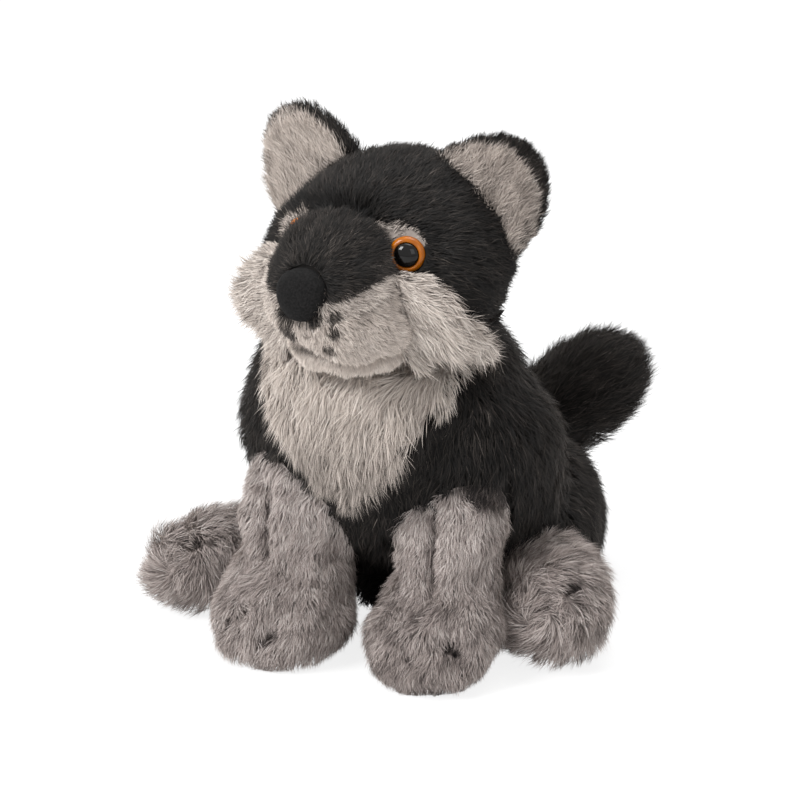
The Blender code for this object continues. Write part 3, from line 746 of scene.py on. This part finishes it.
def bridge_tone(p, n):
    """Black above a line that falls towards the nose, and pale below it as the pads are."""
    ahead = (p - HEAD_CENTRE) @ AHEAD
    line = HEAD_CENTRE[2] + 3.6 - 0.0125 * np.maximum(ahead - 40, 0) ** 2
    beside = np.abs((p - HEAD_CENTRE) @ ASIDE)
    pale = np.clip((line - p[:, 2]) * 1.5, 0, 1) * np.clip((beside - 6.5) * 0.8, 0, 1)
    return 0.25 + 0.50 * pale - 0.35 * pale * in_spots(p, WHISKER_SPOTS)


def bridge_length(p, n):
    """Longer high on the wolf's right, where it hides most of that eye from the left."""
    return 3.8 + 3.5 * ramp(p[:, 0], -4, -9) * ramp(p[:, 2], 151, 155)


def pad_length(p, n):
    """Short, and shorter still in the whisker spots."""
    return 3.4 - 1.8 * in_spots(p, WHISKER_SPOTS)


def chin_length(p, n):
    """Short, but longer at the lower edge, where it hangs over the neck."""
    return 3.4 + 3.0 * ramp(p[:, 2], 114, 110)


def chin_tone(p, n):
    """Pale, with the dark line of the mouth, mostly painted shade where the pads overhang it."""
    return 0.68 - 0.5 * beside_line(p, MOUTH_LINE, 2.4)


def chin_shape(p, n):
    """The front is full on the wolf's left."""
    return 1.5 * np.clip(-1.3 * n[:, 1], 0, 1) * ramp(p[:, 0], 4, 12)


coat("muzzle", black_plush, 10000, bridge_length, muzzle_comb, bridge_tone, 16,
     inset=0.6, lean=(26, 60), tuft=5, gather=0.4, width=0.25, grain=0.085)
coat("muzzle_pads", pale_plush, 7500, pad_length, muzzle_comb, pad_tone, 17,
     inset=0.6, lean=(26, 58), tuft=5, gather=0.4, width=0.24, grain=0.13, shape=pad_shape)
coat("chin", pale_plush, 5000, chin_length, laid(0, 0.3, -1), chin_tone, 18,
     inset=0.9, lean=(24, 56), tuft=5, width=0.26, shape=chin_shape)


# Ears: black backs that wrap round to a rim, and paler linings seated in their fronts, which
# spill over the rim beside the head. The pile runs from the root to the tip.
def ear_comb(splay):
    """Up to the tip, which leans out by the splay."""
    return lambda p, n: np.array([splay, 0, 1]) + 0.35 * drift(p, 12.0, 23)


def ear_tone(side, least, inner_edge):
    """Pale on the front within a reach of the lining.

    The reach in mm grows towards the wolf's right and downwards, and shrinks over the top from
    inner_edge mm to the right of the ear's middle on, where the black rim is broad.
    """
    lining = nodes[side + "_ear_lining"]
    low, high = (np.array(corner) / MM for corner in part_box(side + "_ear"))
    middle = (low + high) / 2

    def tone(p, n):
        gap = np.linalg.norm(p - nearest(p * MM, lining) / MM, axis=1)
        from_middle = p - middle
        reach = least + 5.0 * ramp(from_middle[:, 0], 0, -10) + 2.0 * ramp(from_middle[:, 2], 0, -12)
        inner = ramp(from_middle[:, 0], -inner_edge, 5 - inner_edge)
        reach = reach - 4.0 * ramp(from_middle[:, 2], 5, 13) * inner
        return 0.24 + 0.44 * np.clip(reach - gap, 0, 1) * np.clip(-4 * n[:, 1] - 0.4, 0, 1)
    return tone


# The left lining's tone is lower than the right's: painted shade on the same pale fabric
for side, splay, least, inner_edge, shade, seed in (("left", 0.75, 3.4, 25, 0.40, 19),
                                                    ("right", -0.75, 0.7, 1, 0.52, 20)):
    coat(side + "_ear", black_plush, 7000, even(4.2), ear_comb(splay),
         ear_tone(side, least, inner_edge), seed, inset=1.3, lean=(26, 60), tuft=5, width=0.28)
    coat(side + "_ear_lining", pale_plush, 4500, even(6.2), ear_comb(splay), even(shade),
         seed + 20, inset=0.4, lean=(32, 66), tuft=7, width=0.26)


# Front legs: stuffed tubes of grey plush with a crease down the front, that end in round paws.
# The pile is laid down them, and short stitches draw the toes in.
GREY_SHADES = ((0.0, screen(30, 26, 26)), (0.25, screen(104, 95, 92)), (0.5, screen(170, 158, 153)),
               (0.75, screen(210, 200, 195)), (1.0, screen(238, 230, 225)))
grey_plush = plush("grey_plush", GREY_SHADES, root_share=0.55)
TOE_STITCHES = ((-18.6, -66.4, 16.6, 3.8), (-22.1, -68.0, 13.4, 3.4), (-38.0, -63.1, 16.0, 3.8),
                (43.5, -62.6, 19.8, 3.4), (47.7, -60.6, 17.6, 3.2), (30.0, -66.0, 15.0, 2.6),
                (-65.6, -32.0, 30.6, 5.0), (-72.8, -35.1, 27.6, 4.0), (75.7, -27.4, 33.6, 5.0),
                (71.3, -34.1, 30.2, 4.0), (80.6, -25.9, 28.4, 3.8))
LEG_CREASES = (((31.5, -50.6, 61), (33.4, -53.5, 50.6), (33.2, -55.7, 40.6), (33.3, -57.2, 36.0)),
               ((-29.3, -48.3, 63), (-28.3, -52.7, 52), (-28.7, -55.6, 40)))


def hills(p, spots, radius, height):
    """Rise in mm: a smooth hill of that radius and height over each place, or a dip below 0."""
    rise = np.zeros(len(p))
    for spot in spots:
        near = np.clip(1 - np.linalg.norm(p - np.array(spot[:3]), axis=1) / radius, 0, 1)
        rise = np.maximum(rise, near * near * (3 - 2 * near))
    return rise * height


def creased(p, reach):
    """1 on the creases of the legs, falling smoothly to 0 at the reach."""
    return np.maximum(*(beside_line(p, line, reach) for line in LEG_CREASES))


def paw_tone(p, n):
    """Grey, with painted light high on the legs and painted shade in the toe stitches and the
    creases.

    The left front paw gets painted shade low down, and the top of that leg is black, where the
    body's pile falls over it.
    """
    # Painted light on the upper legs, and painted shade low on the left front paw
    high = 0.10 * ramp(p[:, 2], 38, 58)
    low = 0.06 * ramp(p[:, 2], 38, 28) * (p[:, 0] > 10) * (p[:, 0] < 60)
    hem = 69.5 - 0.6 * np.maximum(p[:, 0] - 38, 0)
    top = ramp(p[:, 2], hem, hem + 2) * (p[:, 0] > 20)
    # Painted shade in the toe stitches and the creases
    painted_cleft_shade = 0.40 * in_spots(p, TOE_STITCHES) + 0.34 * creased(p, 4.5)
    return 0.51 + high - low - 0.56 * top - painted_cleft_shade


def paw_length(p, n):
    """Short, and shorter still in the toe stitches and the creases."""
    return 5.2 - 3.2 * in_spots(p, TOE_STITCHES) - 2.0 * creased(p, 4.5)


def leg_shape(p, n):
    """Crease down the front, a narrow ankle and a full paw, with the toes stitched in.

    The ankle and the paw are bell curves of the height, 3 mm deep round 37 and 2 mm high round
    15 mm.
    """
    ankle = -3.0 * np.exp(-((p[:, 2] - 37) / 7) ** 2) * np.clip(0.7 - n[:, 1], 0, 1)
    paw = 2.0 * np.exp(-((p[:, 2] - 15) / 10) ** 2)
    return ankle + paw - 4.5 * creased(p, 7.0) + hills(p, TOE_STITCHES, 8.0, -4.5)


for side, seed in (("left", 21), ("right", 22)):
    coat(side + "_front_leg", grey_plush, 33000, paw_length,
         lambda p, n: np.array([0, -0.3, -1]) + 0.55 * drift(p, 15.0, 33), paw_tone, seed,
         inset=2.2, lean=(20, 56), tuft=7, gather=0.6, lumps=1.2, width=0.23, grain=0.13,
         shape=leg_shape)


# Haunches and hind paws: black thighs sewn to the seat, and grey feet that point out and
# forward from under them, their pile brushed in a swirl.
for side, seed in (("left", 23), ("right", 24)):
    coat(side + "_haunch", black_plush, 9500, even(7.0), laid(0, 0.3, -1), even(0.25),
         seed, inset=2.2, lean=(24, 60), tuft=7, width=0.34, grain=0.085)


def hind_comb(place):
    """Round the middle of the toes in a swirl, and down."""
    middle = np.array(place)
    return lambda p, n: (0.9 * np.cross(unit(p - middle), [0.3, -0.9, 0.3])
                         + np.array([0, 0.2, -0.5]) + 0.5 * drift(p, 13.0, 29))


for side, place, seed in (("left", (68, -30, 22), 25), ("right", (-70, -30, 20), 26)):
    coat(side + "_hind_paw", grey_plush, 15500,
         lambda p, n: 7.2 - 3.8 * in_spots(p, TOE_STITCHES), hind_comb(place), paw_tone, seed,
         inset=2.0, lean=(12, 48), tuft=9, gather=0.7, lumps=1.8, width=0.26, grain=0.13,
         shape=lambda p, n: hills(p, TOE_STITCHES, 8.0, -4.5))


# Tail: a bushy stuffed tube of black plush, sewn to the seat of the torso and swung up behind
# on the wolf's left. Its long pile is laid to the tip.
TAIL_PATH = np.array([(13.4, 48.0, 38.0), (35.4, 64.0, 54.0), (64.4, 77.0, 82.0)])


def tail_comb(p, n):
    """Along the tail's bend, from its root to its tip."""
    t = ramp(p[:, 0], TAIL_PATH[0, 0], TAIL_PATH[2, 0])[:, None]
    along = unit((TAIL_PATH[1] - TAIL_PATH[0]) * (1 - t) + (TAIL_PATH[2] - TAIL_PATH[1]) * t)
    return along + 0.25 * drift(p, 14.0, 31)


def tail_shape(p, n):
    """Fuller towards the root and slimmer towards the tip, by 1 mm for each 6 mm of x."""
    return np.clip((52 - p[:, 0]) / 6, -3, 4)


coat("tail", black_plush, 17000, even(10.0), tail_comb, even(0.26), 27,
     inset=5.0, lean=(30, 58), tuft=8, gather=0.55, width=0.34, grain=0.085, shape=tail_shape)


# Eyes: amber safety eyes pushed into the plush, each a domed ring with a glossy black pupil in
# its middle, held by a washer inside the head.
def axis_of(name):
    """Middle of a solid's mesh and the direction in which it is thinnest, towards the front."""
    points = merged(nodes[name].data)[0]
    middle = (points.min(axis=0) + points.max(axis=0)) / 2
    spread = points - points.mean(axis=0)
    values, vectors = np.linalg.eigh(spread.T @ spread)
    axis = vectors[:, 0]
    return middle, axis * (-1 if axis[1] > 0 else 1)


def turned(name, profile, foot, axis, sides=56):
    """Profile of (radius, height) turned round the axis through the foot, ends closed.

    The point at the angle a is foot + radius * (cos(a) * first + sin(a) * second) + height *
    axis, where first and second are at right angles to the axis and to each other.
    """
    profile = np.array(profile) * MM
    first = unit(np.cross(axis, [0.0, 0.0, 1.0])[None])[0]
    second = np.cross(axis, first)
    angle = np.linspace(0, 2 * pi, sides, endpoint=False)
    ring = np.cos(angle)[:, None] * first + np.sin(angle)[:, None] * second
    grid = foot + profile[:, 0, None, None] * ring[None] + profile[:, 1, None, None] * axis
    rows = len(profile)
    ends = [foot + axis * profile[0, 1], foot + axis * profile[-1, 1]]
    points = np.concatenate([grid.reshape(-1, 3), ends])
    i, j = np.meshgrid(np.arange(rows - 1), np.arange(sides), indexing="ij")
    k = (j + 1) % sides
    quads = np.stack([i * sides + j, i * sides + k, (i + 1) * sides + k, (i + 1) * sides + j], axis=-1)
    low_end, high_end, last = rows * sides, rows * sides + 1, (rows - 1) * sides
    low = [(low_end, (s + 1) % sides, s) for s in range(sides)]
    high = [(high_end, last + s, last + (s + 1) % sides) for s in range(sides)]
    mesh = bpy.data.meshes.new(name)
    mesh.from_pydata(points.tolist(), [], quads.reshape(-1, 4).tolist() + low + high)
    mesh.shade_smooth()
    return link(name, mesh)


def moulded(name, dark, light, scale, roughness, gloss=0.5, bump=0.0):
    """Moulded or flocked finish: two colours by fine noise, and a bump of the same noise."""
    made = bpy.data.materials.new(name)
    made.use_nodes = True
    shader = made.node_tree.nodes["Principled BSDF"]
    start = Wire(made.node_tree)
    place = start.node("ShaderNodeTexCoord", "Object")
    grain = start.node("ShaderNodeTexNoise", "Fac", Vector=place, Scale=scale, Detail=3.0)
    colour = start.node("ShaderNodeValToRGB", settings={"stops": ((0.3, dark), (0.7, light))}, Fac=grain)
    made.node_tree.links.new(colour.socket, shader.inputs["Base Color"])
    shader.inputs["Roughness"].default_value = roughness
    shader.inputs["Specular IOR Level"].default_value = gloss
    if bump:
        raised = start.node("ShaderNodeBump", Height=grain, Strength=bump, Distance=0.0002)
        made.node_tree.links.new(raised.socket, shader.inputs["Normal"])
    return made


amber = moulded("amber_plastic", screen(138, 72, 2), screen(176, 98, 5), 260, 0.2, gloss=0.3)
gloss_black = moulded("gloss_black", screen(5, 4, 4), screen(11, 9, 8), 300, 0.06, gloss=0.28)
for side in ("left", "right"):
    foot, axis = axis_of(side + "_eye_washer")
    eye_points = merged(nodes[side + "_eye"].data)[0]
    height = (eye_points - foot) @ axis / MM
    top = float(height.max())
    ring = [(0.5, top - 3.2), (5.2, top - 3.2), (5.9, top - 2.6), (6.0, top - 1.6), (5.8, top - 0.9),
            (5.4, top - 0.35), (4.9, top - 0.05), (4.5, top), (4.25, top - 0.15), (4.1, top - 0.6),
            (0.5, top - 0.6)]
    eye = turned(side + "_eye_ring", ring, foot, axis)
    eye.data.materials.append(amber)
    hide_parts(side + "_eye")
    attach(eye, "root")
    dome = [(4.12 * cos(a), top - 0.55 + 2.2 * sin(a)) for a in np.linspace(0, pi / 2 * 0.97, 12)]
    pupil = turned(side + "_pupil_dome", dome, foot, axis)
    pupil.data.materials.append(gloss_black)
    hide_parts(side + "_pupil")
    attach(pupil, "root")


# Nose: a round plastic button covered in slate flock, seated in the end of the muzzle, with
# its shank and washer inside.
foot, axis = axis_of("nose_washer")
nose_points = merged(nodes["nose"].data)[0]
top = float(((nose_points - foot) @ axis).max() / MM)
NOSE_RADIUS = 8.6
NOSE_RISE = 5.0
NOSE_SAG = 1.2 * MM
pillow = [(NOSE_RADIUS * cos(a) ** 0.75, top - NOSE_RISE + NOSE_RISE * sin(a) ** 0.9)
          for a in np.linspace(0, pi / 2 * 0.98, 16)]
nose = turned("nose_button", [(6.5, top - 7.0), (8.0, top - 6.5)] + pillow, foot, axis)

# The button is broader at its top than at its bottom
points = read(nose.data.vertices, "co", 3)
low = np.clip((nose_points[:, 2].mean() - points[:, 2]) / MM / 9, -1, 1)[:, None]
middle = points[:, :2].mean(axis=0)
points[:, :2] = middle + (points[:, :2] - middle) * (1.04 - 0.16 * low)
points[:, 2] -= NOSE_SAG
nose.data.vertices.foreach_set("co", points.ravel())
slate_flock = moulded("slate_flock", screen(5, 5, 5), screen(27, 26, 26), 1500, 0.9,
                      gloss=0.15, bump=0.7)
nose.data.materials.append(slate_flock)
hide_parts("nose")
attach(nose, "root")


# Washers: moulded discs of pale plastic that are pushed onto the three shanks inside the head
# and lock the eyes and the nose. They stay as packed and get their finish here.
washer_plastic = moulded("washer_plastic", screen(214, 214, 208), screen(232, 232, 226), 120, 0.4)
for name in ("left_eye_washer", "right_eye_washer", "nose_washer"):
    nodes[name].data.materials.clear()
    nodes[name].data.materials.append(washer_plastic)

print("\n".join(report))
